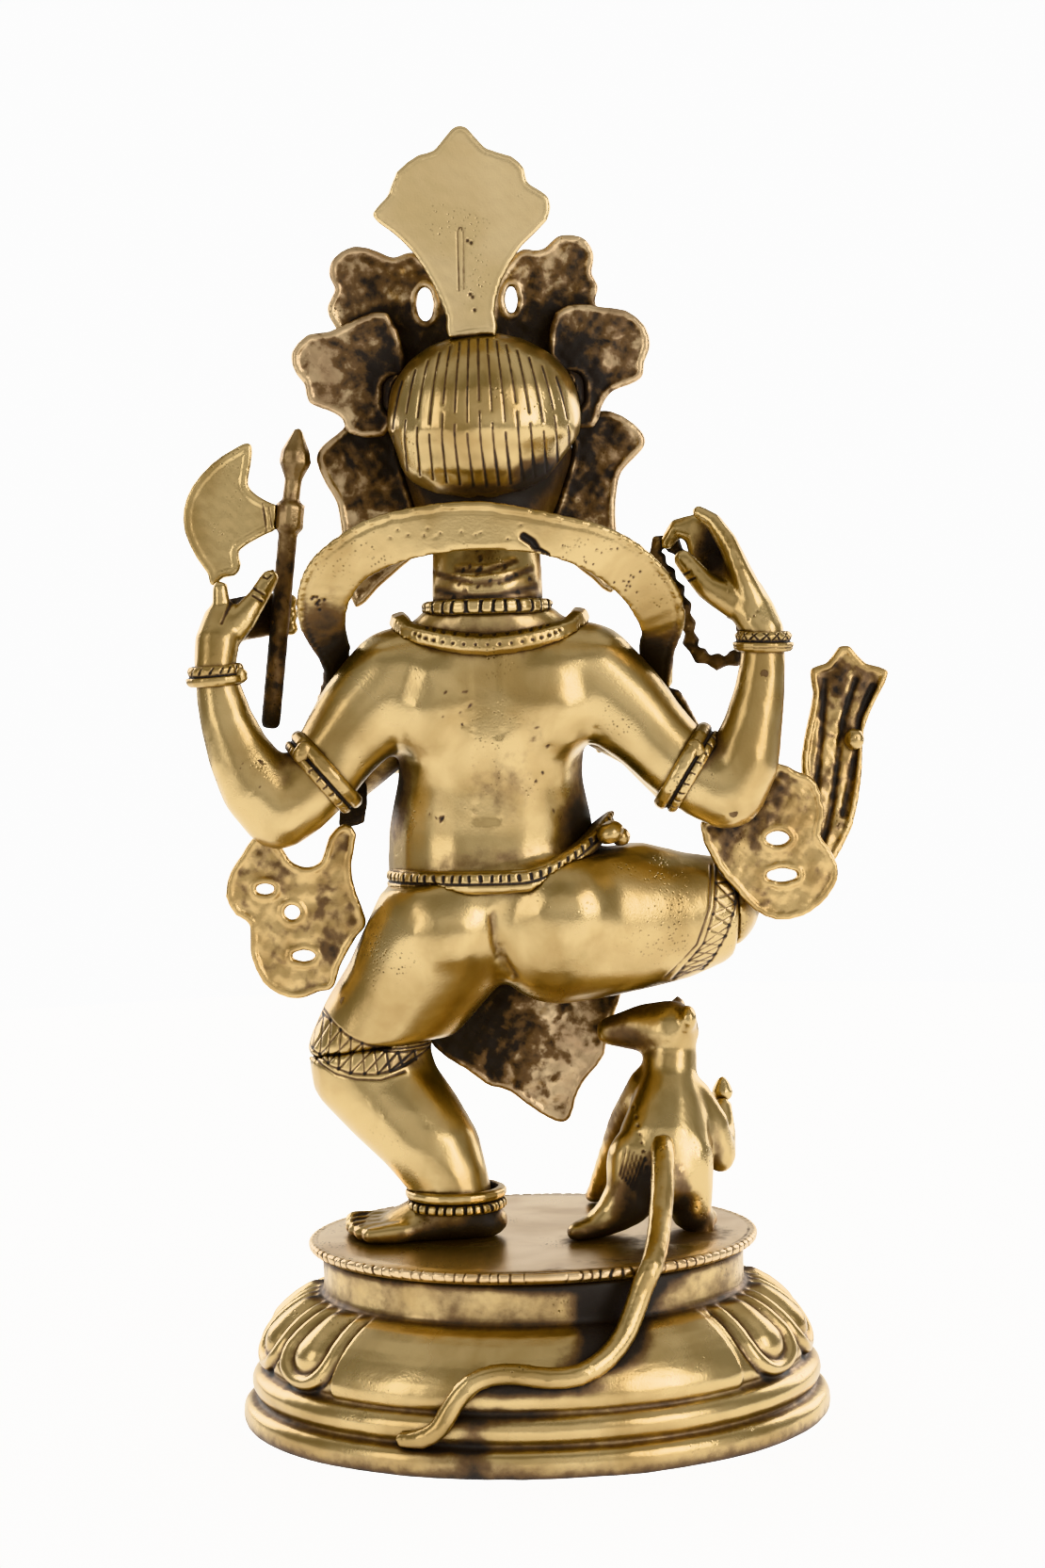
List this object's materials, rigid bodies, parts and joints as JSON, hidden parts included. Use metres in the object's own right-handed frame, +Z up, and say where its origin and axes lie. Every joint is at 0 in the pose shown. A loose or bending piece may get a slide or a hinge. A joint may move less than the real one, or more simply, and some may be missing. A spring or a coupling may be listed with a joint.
{
  "type": "brass nataraja statue",
  "caption": "Cast brass figure of a dancing elephant-headed deity with a rat, standing on an oval lotus pedestal, for display",
  "frame": {"origin": "centre of the underside of the oval pedestal, on the plane it rests on", "axes": "+Z up; the figure and the pedestal face -Y; +X is the figure's left side, the side of the axe"},
  "size_m": [0.1817, 0.1316, 0.3306],
  "materials": {
    "polished_body": "polished, dark in the recesses",
    "ornament": "satin, engraved, dark in the grooves",
    "rough_cast": "as cast, mottled brown with bright rims",
    "dark_brass": "dark patina",
    "pedestal": "satin, stained"
  },
  "bodies": {
    "root": {"axe_blade": "ornament", "axe_shaft": "dark_brass", "bottom_plate": "dark_brass", "collar": "ornament", "crown_band": "ornament", "crown_front_leaf": "ornament", "crown_left_lower_leaf": "rough_cast", "crown_left_upper_leaf": "rough_cast", "crown_plume": "ornament", "crown_right_lower_leaf": "rough_cast", "crown_right_upper_leaf": "rough_cast", "deck_plate": "pedestal", "elbow_plug": "dark_brass", "front_left_arm": "polished_body", "front_right_arm": "polished_body", "hair_cap": "polished_body", "head": "polished_body", "held_tusk": "polished_body", "hips": "polished_body", "left_anklet_beads": "ornament", "left_anklet_ring": "ornament", "left_arm_plug": "dark_brass", "left_armlet": "ornament", "left_bracelet": "ornament", "left_ear": "rough_cast", "left_foot": "polished_body", "left_forearm": "polished_body", "left_hand": "polished_body", "left_sash_bow": "rough_cast", "left_sash_strap": "ornament", "left_shin": "polished_body", "loincloth_flap": "rough_cast", "lotus_base": "pedestal", "neck_beads": "ornament", "rat_body": "polished_body", "rat_sweet": "polished_body", "rat_tail": "polished_body", "right_anklet": "ornament", "right_arm_plug": "dark_brass", "right_armlet": "ornament", "right_bracelet": "ornament", "right_ear": "rough_cast", "right_foot": "polished_body", "right_forearm": "polished_body", "right_hand": "polished_body", "right_sash_bow": "rough_cast", "right_sash_strap": "ornament", "right_sash_tail": "rough_cast", "right_shin": "polished_body", "right_tusk": "polished_body", "rosary": "dark_brass", "shoulder_scarf": "ornament", "sweet_bowl": "ornament", "sweets": "polished_body", "thigh_plug": "dark_brass", "torso": "polished_body", "waist_belt": "ornament"}
  },
  "joints": []
}
